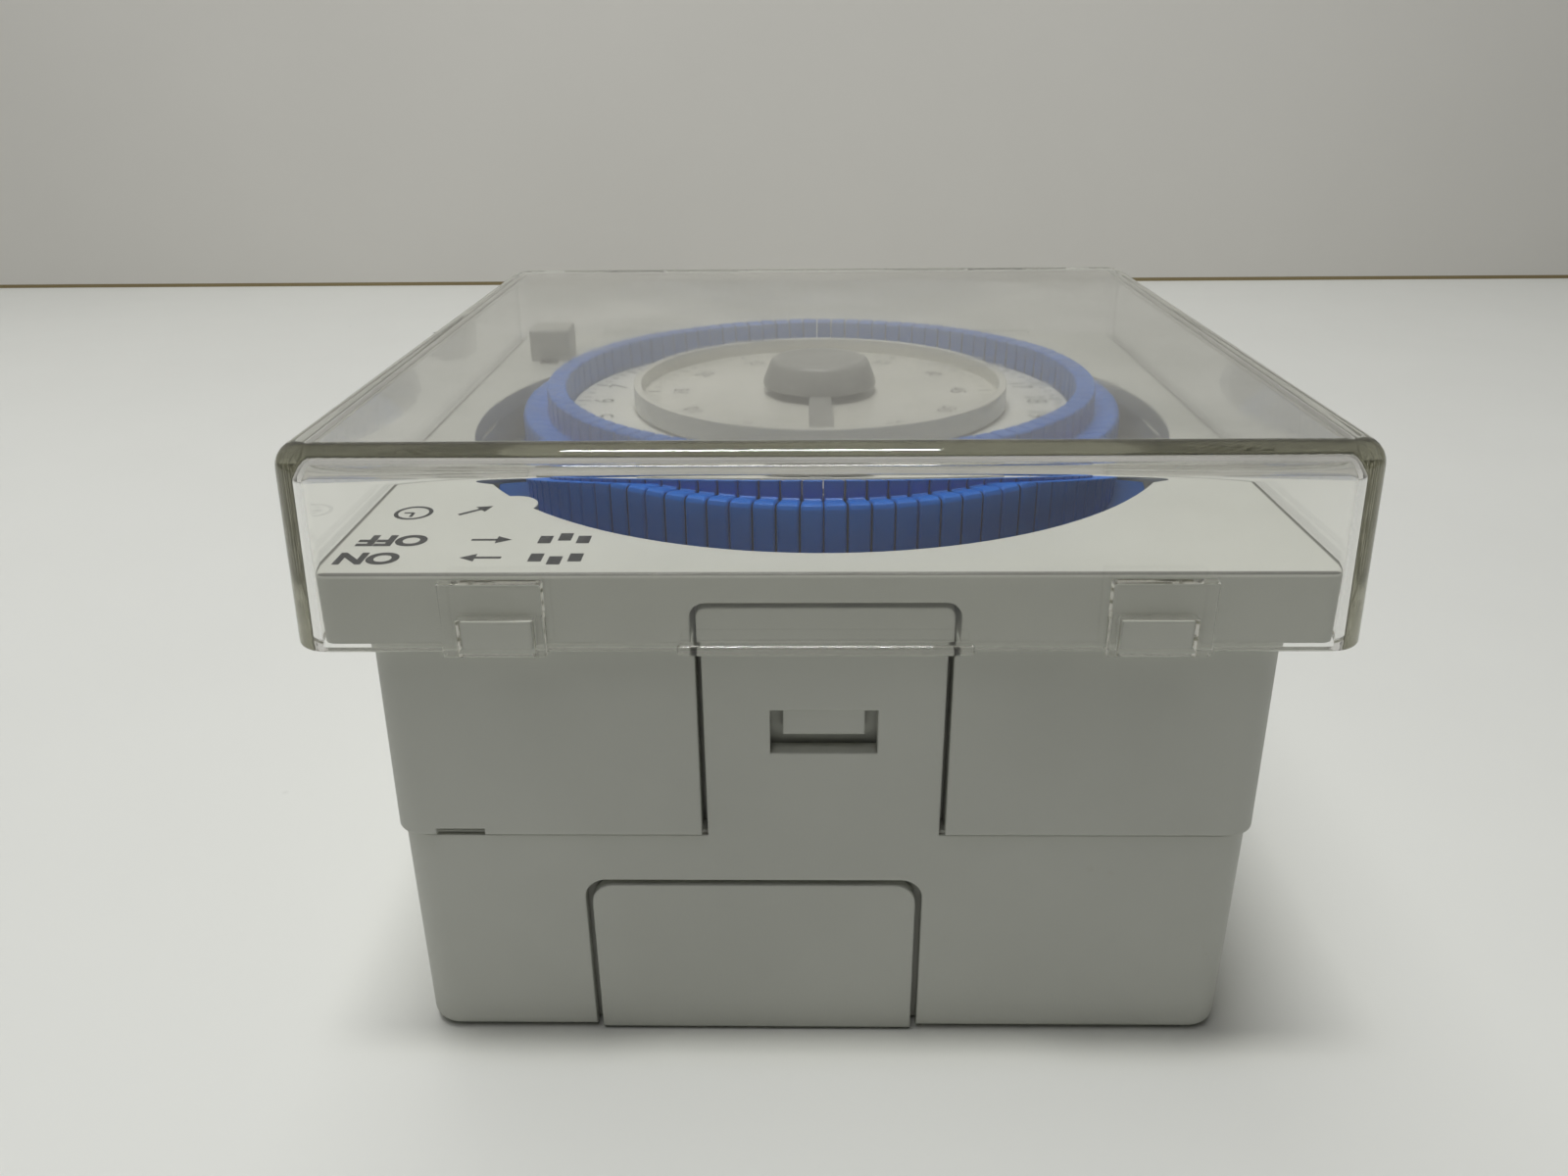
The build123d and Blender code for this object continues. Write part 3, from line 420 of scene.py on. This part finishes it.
def makeTripper(bm, look, azimuth, out, lift):
    ring = [("outer", "bottom"), ("outer", "rim"), ("step", "ledge"), ("step", "top"), ("inner", "top"),
            ("inner", "toeTop"), ("toe", "toeTop"), ("toe", "bottom"), ("pegIn", "bottom"),
            ("pegIn", "pegBottom"), ("pegOut", "pegBottom"), ("pegOut", "bottom")]
    part = bmesh.new()
    face = part.faces.new([part.verts.new((look[r], 0, look[z])) for r, z in ring])
    wide = radians(look["pitch"] - look["gap"])
    bmesh.ops.spin(part, geom=[face], cent=(0, 0, 0), axis=(0, 0, 1), angle=wide, steps=1)
    bmesh.ops.recalc_face_normals(part, faces=part.faces)
    front = [e for e in part.edges if atHeight(e, look["rim"])
             and all(abs(v.co.xy.length - look["outer"]) < pick for v in e.verts)]
    bevelEdges(part, front, look["front"], look["frontParts"])
    shown = [e for e in part.edges if e.calc_face_angle(0) > look["sharp"]     # not the hidden toe and peg
             and min(v.co.z for v in e.verts) > look["bottom"] - pick
             and max(v.co.z for v in e.verts) > look["bottom"] + pick
             and min(v.co.xy.length for v in e.verts) > look["inner"] - pick]
    bevelEdges(part, shown, look["corner"], look["cornerParts"])
    bmesh.ops.translate(part, vec=(out, 0, lift), verts=part.verts)
    turned = Matrix.Rotation(radians(azimuth), 3, "Z")
    bmesh.ops.rotate(part, cent=(0, 0, 0), matrix=turned, verts=part.verts)
    mesh = bpy.data.meshes.new("tripper")
    part.to_mesh(mesh)
    part.free()
    bm.from_mesh(mesh)
    bpy.data.meshes.remove(mesh)


t = tripperShape
random.seed(t["seed"])
for hour in range(t["hours"]):
    bm = bmesh.new()
    for quarter in range(t["perHour"]):
        start = (hour * t["perHour"] + quarter) * t["pitch"] + t["gap"] / 2
        sway = random.uniform(-t["sway"], t["sway"])        # no two stand quite alike
        makeTripper(bm, t, start + sway, random.uniform(-t["slack"], 0), random.uniform(-t["sink"], 0))
    name = f"{hour + 1:02d}"
    piece = addPiece("trippersHour" + name, bm, blue, "hour_" + name, t["smooth"])
    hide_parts("tripper_" + name)
print("stage trippers:", t["hours"] * t["perHour"])


# setting knob with a shallow dish in its top

knobShape = {"foot": 0.0525, "top": 0.0552, "footRadius": 0.0060, "footRise": 0.0004, "topRadius": 0.0051,
             "dishRadius": 0.0042, "dishSlope": 0.0003, "dishDepth": 0.00022,
             "round": 0.00045, "roundParts": 4, "steps": 72, "smooth": 40}
k = knobShape
dish = k["top"] - k["dishDepth"]
line = [(0, k["foot"]), (k["footRadius"], k["foot"]), (k["footRadius"], k["foot"] + k["footRise"]),
        (k["topRadius"], k["top"]), (k["dishRadius"], k["top"]),
        (k["dishRadius"] - k["dishSlope"], dish), (0, dish)]
bm = bmesh.new()
spots = [bm.verts.new((r, 0, z)) for r, z in line]
sides = [bm.edges.new(pair) for pair in zip(spots, spots[1:])]
bmesh.ops.spin(bm, geom=spots + sides, cent=(0, 0, 0), axis=(0, 0, 1), angle=2 * pi, steps=k["steps"],
               use_merge=True)
bmesh.ops.remove_doubles(bm, verts=bm.verts, dist=1e-7)     # the middle points, one for each step
bmesh.ops.recalc_face_normals(bm, faces=bm.faces)
rim = [e for e in bm.edges if atHeight(e, k["top"])
       and all(v.co.xy.length > k["topRadius"] - pick for v in e.verts)]
bevelEdges(bm, rim, k["round"], k["roundParts"])
knob = addPiece("knob", bm, knobGrey, "minute", k["smooth"])
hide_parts("setting_knob")
print("stage knob:", len(knob.data.polygons), "faces")


# printed scales: hours on the dial and minutes on the drum, clockwise from the near end

dialPrint = {"height": 0.05061, "figures": 0.0232, "size": 0.0032, "tickIn": 0.0247, "tickOut": 0.0261,
             "shortTick": 0.6, "tickWidth": 0.00022, "longWidth": 0.00036, "ticks": 96, "perFigure": 4}
drumPrint = {"height": 0.05161, "figures": 0.0148, "size": 0.0024, "tickIn": 0.0171, "tickOut": 0.0184,
             "shortTick": 0.6, "tickWidth": 0.00016, "longWidth": 0.00030, "ticks": 60, "perFigure": 5}


def onRing(angle, radius, height):
    return Matrix.Rotation(radians(-angle - 90), 4, "Z") @ Matrix.Translation((radius, 0, height))


def makeScale(look, figures):
    bm = bmesh.new()
    middle = (look["tickIn"] + look["tickOut"]) / 2
    length = look["tickOut"] - look["tickIn"]
    upright = Matrix.Rotation(radians(-90), 4, "Z")
    for tick in range(look["ticks"]):
        angle = 360 / look["ticks"] * tick
        long = tick % look["perFigure"] == 0
        if long:
            words = str(figures[tick // look["perFigure"]])
            addText(bm, words, look["size"], onRing(angle, look["figures"], look["height"]) @ upright)
        addBar(bm, length * (1.0 if long else look["shortTick"]), look["longWidth" if long else "tickWidth"],
               onRing(angle, middle, look["height"]))
    faceUp(bm)
    return bm


addPiece("dialFigures", makeScale(dialPrint, [24] + list(range(1, 24))), inkBlack, "dial")
addPiece("drumFigures", makeScale(drumPrint, list(range(0, 60, 5))), inkGrey, "base")


# marks on the face plate: on and off with little trippers, a clock and an arrow

platePrint = {"height": 0.04921, "size": 0.0032, "weight": 0.00015, "onX": -0.0368, "onRow": -0.0372,
              "offX": -0.0359, "offRow": -0.0333,
              "arrowX": -0.0277, "arrowLength": 0.0034, "arrowWidth": 0.00042,
              "arrowTip": ((0.12, -0.24), (0.5, 0), (0.12, 0.24)), "shaft": 0.62, "shaftMiddle": -0.19,
              "signX": -0.0232, "signStep": 0.0016, "signSize": (0.0011, 0.0017), "signShift": 0.0006,
              "pointer": (-0.0308, -0.0262), "pointerTurn": 41,
              "clock": (-0.0362, -0.0268), "clockRadius": 0.0017, "clockHole": 0.78, "clockParts": 40,
              "longHand": (-0.0362, -0.0273, 0.00030, 0.00105),
              "shortHand": (-0.0366, -0.0268, 0.00085, 0.00030)}
p = platePrint


def onPlate(x, y, turn=180):        # this print reads from the far side
    return Matrix.Translation((x, y, p["height"])) @ Matrix.Rotation(radians(turn), 4, "Z")


def addArrow(bm, x, y, turn):
    spot, length = onPlate(x, y, turn), p["arrowLength"]
    middle = Matrix.Translation((length * p["shaftMiddle"], 0, 0))
    addBar(bm, length * p["shaft"], p["arrowWidth"], spot @ middle)
    bm.faces.new([bm.verts.new(spot @ Vector((length * a, length * b, 0))) for a, b in p["arrowTip"]])


bm = bmesh.new()
addText(bm, "ON", p["size"], onPlate(p["onX"], p["onRow"]), p["weight"])
addText(bm, "OFF", p["size"], onPlate(p["offX"], p["offRow"]), p["weight"])
for row, turn, shift in ((p["onRow"], 180, -p["signShift"]), (p["offRow"], 0, p["signShift"])):
    addArrow(bm, p["arrowX"], row, turn)
    for place in range(3):          # the middle tripper is pulled out or pushed in
        y = row + (shift if place == 1 else 0)
        addBar(bm, *p["signSize"], onPlate(p["signX"] + p["signStep"] * place, y))
addArrow(bm, *p["pointer"], p["pointerTurn"])
outer = bmesh.ops.create_circle(bm, cap_ends=False, segments=p["clockParts"],
                                radius=p["clockRadius"])["verts"]
inner = bmesh.ops.extrude_edge_only(bm, edges=edgesOf(outer))["geom"]
inner = [v for v in inner if isinstance(v, bmesh.types.BMVert)]
bmesh.ops.scale(bm, vec=(p["clockHole"], p["clockHole"], 1), verts=inner)
bmesh.ops.transform(bm, matrix=onPlate(*p["clock"]), verts=outer + inner)
for x, y, width, length in (p["longHand"], p["shortHand"]):
    addBar(bm, width, length, onPlate(x, y))
faceUp(bm)
addPiece("plateMarks", bm, inkBlack, "base")
print("stage print: dial, drum and plate")


# clear cover with its clips, pockets and finger lips

coverShape = {"half": 0.0425, "bottom": 0.0430, "top": 0.0596, "draft": 0.0005,
              "corner": 0.0030, "cornerParts": 8, "edge": 0.0020, "edgeParts": 6,
              "innerHalf": 0.0409, "innerTop": 0.0578, "innerCorner": 0.0014, "innerEdge": 0.0013,
              "clipX": 0.02585, "clipHalf": 0.00405, "clipRoot": 0.0417, "clipFace": 0.0434,
              "clipTop": 0.0492,
              "pocketHalf": 0.0031, "pocketRoot": 0.0400, "pocketFace": 0.0421, "pocketTop": 0.0459,
              "lipHalf": 0.0116, "lipFace": 0.0433, "lipTop": 0.0439, "cutBelow": 0.002,
              "foot": 0.0003, "bumpRound": 0.0002, "lipRound": 0.0003, "pocketRound": 0.00012,
              "roundParts": 3, "smooth": 40, "flatten": 100}
c = coverShape


def makeShell(half, low, high, draft, corner, edge, foot=0):
    bm = bmesh.new()
    addBlock(bm, (-half, -half, low), (half, half, high))
    upright = [e for e in bm.edges if abs(e.verts[0].co.z - e.verts[1].co.z) > pick]
    bevelEdges(bm, upright, corner, c["cornerParts"])
    top = [v for v in bm.verts if v.co.z > high - pick]
    bmesh.ops.scale(bm, vec=((half - draft) / half, (half - draft) / half, 1), verts=top)
    bevelEdges(bm, [e for e in bm.edges if atHeight(e, high)], edge, c["edgeParts"])
    if foot:
        bevelEdges(bm, [e for e in bm.edges if atHeight(e, low)], foot, c["roundParts"])
    return bm


def makeCutter(name, blocks, corner):
    bm = bmesh.new()
    for low, high in blocks:
        made = addBlock(bm, low, high)
        bevelEdges(bm, edgesOf(made), corner, c["roundParts"])
    mesh = bpy.data.meshes.new(name)
    bm.to_mesh(mesh)
    bm.free()
    cutter = bpy.data.objects.new(name, mesh)
    scene.collection.objects.link(cutter)
    return cutter


def bothEnds(x0, x1, near, far, low, high):     # the same block at the near and the far end
    return [((x0, -far, low), (x1, -near, high)), ((-x1, near, low), (-x0, far, high))]


def combine(piece, tools):
    for kind, tool in tools:
        step = piece.modifiers.new("step", "BOOLEAN")
        step.operation = kind
        step.solver = "EXACT"
        step.object = tool
    bpy.context.view_layer.update()
    graph = bpy.context.evaluated_depsgraph_get()
    mesh = bpy.data.meshes.new_from_object(piece.evaluated_get(graph))
    piece.modifiers.clear()
    piece.data = mesh
    for kind, tool in tools:
        bpy.data.objects.remove(tool)


cutLow = c["bottom"] - c["cutBelow"]
shell = makeShell(c["half"], c["bottom"], c["top"], c["draft"], c["corner"], c["edge"], c["foot"])
cover = addPiece("coverShell", shell, clear)
hollow = makeShell(c["innerHalf"], cutLow, c["innerTop"], c["draft"], c["innerCorner"], c["innerEdge"])
hollow = addPiece("hollow", hollow, clear)
bumps, pockets = [], []
for x in (-c["clipX"], c["clipX"]):
    bumps += bothEnds(x - c["clipHalf"], x + c["clipHalf"], c["clipRoot"], c["clipFace"],
                      c["bottom"], c["clipTop"])
    pockets += bothEnds(x - c["pocketHalf"], x + c["pocketHalf"], c["pocketRoot"], c["pocketFace"],
                        cutLow, c["pocketTop"])
lips = bothEnds(-c["lipHalf"], c["lipHalf"], c["clipRoot"], c["lipFace"], c["bottom"], c["lipTop"])
combine(cover, [("UNION", makeCutter("bumps", bumps, c["bumpRound"])),
                ("UNION", makeCutter("lips", lips, c["lipRound"])),
                ("DIFFERENCE", hollow),
                ("DIFFERENCE", makeCutter("pockets", pockets, c["pocketRound"]))])
cover.data.shade_smooth()
cover.data.set_sharp_from_angle(angle=radians(c["smooth"]))
flatten = cover.modifiers.new("flatten", "WEIGHTED_NORMAL")     # keeps the broad faces optically flat
flatten.mode = "FACE_AREA"
flatten.weight = c["flatten"]
flatten.keep_sharp = True
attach(cover, "cover")
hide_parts("clear_cover")
print("stage cover:", len(cover.data.polygons), "faces")


# table top, wall and the brown bead between them

roomLook = {"floor": rgb(228, 229, 224), "floorShade": rgb(222, 223, 218), "speck": rgb(120, 118, 110),
            "wall": rgb(232, 230, 224), "wallShade": rgb(225, 223, 217),
            "beadMain": rgb(153, 139, 103), "beadShade": rgb(138, 124, 90),
            "half": 1.6, "front": -1.2, "edge": 0.385, "floorDepth": 0.30,
            "bead": 0.0014, "beadDepth": 0.10, "beadThick": 0.02, "wallTop": 0.45, "wallThick": 0.03,
            "cloud": 3, "tone": (0.35, 0.65), "speckScale": 26.0, "speckSize": (0.014, 0.024),
            "fine": 40, "rough": (0.45, 0.6), "shine": 0.25}
r = roomLook


def roomMaterial(name, main, shade, specks=False):
    material, tree, skin, place = startMaterial(name)
    link = tree.links.new
    colour = addRamp(tree, addNoise(tree, place, r["cloud"], detail=4), *r["tone"], shade, main)
    if specks:                      # a few crumbs of dust
        dots = addNode(tree, "TexVoronoi", Scale=r["speckScale"])
        link(place, dots.inputs["Vector"])
        near = addRamp(tree, dots.outputs["Distance"], *r["speckSize"], full, blank)
        colour = addMix(tree, near, colour, r["speck"])
    link(colour, skin.inputs["Base Color"])
    link(addSpread(tree, addNoise(tree, place, r["fine"]), *r["rough"]), skin.inputs["Roughness"])
    skin.inputs["Specular IOR Level"].default_value = r["shine"]
    return material


bm = bmesh.new()
addBlock(bm, (-r["half"], r["front"], -r["floorDepth"]), (r["half"], r["edge"], 0))
floor = addPiece("floor", bm, roomMaterial("tableTop", r["floor"], r["floorShade"], True))
bm = bmesh.new()
addBlock(bm, (-r["half"], r["edge"], r["bead"]), (r["half"], r["edge"] + r["wallThick"], r["wallTop"]))
wall = addPiece("wall", bm, roomMaterial("wallPaint", r["wall"], r["wallShade"]))
bm = bmesh.new()
addBlock(bm, (-r["half"], r["edge"], -r["beadDepth"]), (r["half"], r["edge"] + r["beadThick"], r["bead"]))
bead = addPiece("bead", bm, roomMaterial("beadPaint", r["beadMain"], r["beadShade"]))


# lamps: a broad soft one that the cover doesn't mirror, and a small strip that it does

lampLook = {"main": {"place": (-0.16, 0.13, 0.90), "size": (1.4, 0.5), "power": 4.0,
                     "aim": (-0.12, 0.13, 0), "mirrored": False},
            "strip": {"place": (-0.043, -0.06, 0.88), "size": (0.286, 0.07), "power": 3.6,
                      "aim": (-0.043, -0.06, 0), "mirrored": True}}
for name, look in lampLook.items():
    lamp = bpy.data.lights.new(name + "Lamp", "AREA")
    lamp.shape = "RECTANGLE"
    lamp.size, lamp.size_y = look["size"]
    lamp.energy = look["power"]
    holder = bpy.data.objects.new(name + "Lamp", lamp)
    scene.collection.objects.link(holder)
    holder.visible_glossy = look["mirrored"]
    holder.visible_transmission = look["mirrored"]
    holder.location = look["place"]
    holder.rotation_mode = "QUATERNION"
    holder.rotation_quaternion = (Vector(look["aim"]) - Vector(look["place"])).to_track_quat("-Z", "Y")


# world: faint fill light, the room that the cover mirrors, and a plain tone behind it all

skyLook = {"fill": (0.93, 0.95, 1.0, 1), "fillStrength": 0.025, "front": rgb(112, 111, 104),
           "back": rgb(182, 180, 173), "lean": (0, 0.35, 0.5), "leanRange": (-0.25, 0.5),
           "plain": rgb(186, 185, 180)}
sky = bpy.data.worlds.new("room")
scene.world = sky
sky.use_nodes = True
tree = sky.node_tree
fill = tree.nodes["Background"]
fill.inputs["Color"].default_value = skyLook["fill"]
fill.inputs["Strength"].default_value = skyLook["fillStrength"]
lean = addNode(tree, "VectorMath")
lean.operation = "DOT_PRODUCT"
lean.inputs[1].default_value = skyLook["lean"]
tree.links.new(tree.nodes.new("ShaderNodeTexCoord").outputs["Generated"], lean.inputs[0])
glow = addSpread(tree, lean.outputs["Value"], 0, 1, *skyLook["leanRange"])
seen = addNode(tree, "Background", Strength=1.0)            # darker in front
tree.links.new(addRamp(tree, glow, 0.0, 1.0, skyLook["front"], skyLook["back"]), seen.inputs["Color"])
plain = addNode(tree, "Background", Color=skyLook["plain"])
path = tree.nodes.new("ShaderNodeLightPath")
mixed = fill.outputs["Background"]
for ray, shown in (("Is Glossy Ray", seen), ("Is Transmission Ray", plain), ("Is Camera Ray", plain)):
    mixed = chooseShader(tree, path.outputs[ray], mixed, shown.outputs["Background"])
tree.links.new(mixed, tree.nodes["World Output"].inputs["Surface"])


# camera, with its lens given in pixels of the 1600 wide picture

cameraLook = {"place": (-0.00160, -0.12598, 0.08550), "pitch": 23.852, "turn": -1.10, "roll": -0.544,
              "pixels": 1215.3, "picture": 1600, "sensor": 36.0, "near": 0.005}
pitch, turn = radians(cameraLook["pitch"]), radians(cameraLook["turn"])
ahead = Vector((sin(turn) * cos(pitch), cos(turn) * cos(pitch), -sin(pitch)))
across = Vector((cos(turn), -sin(turn), 0))
lens = bpy.data.cameras.new("camera")
lens.sensor_width = cameraLook["sensor"]
lens.lens = cameraLook["pixels"] * cameraLook["sensor"] / cameraLook["picture"]
lens.clip_start = cameraLook["near"]
camera = bpy.data.objects.new("camera", lens)
scene.collection.objects.link(camera)
facing = Matrix((across, across.cross(ahead), -ahead)).transposed().to_4x4()
camera.matrix_world = (Matrix.Translation(cameraLook["place"]) @ facing
                       @ Matrix.Rotation(radians(cameraLook["roll"]), 4, "Z"))
scene.camera = camera
print("stage room: floor, wall,", len(lampLook), "lamps and camera")
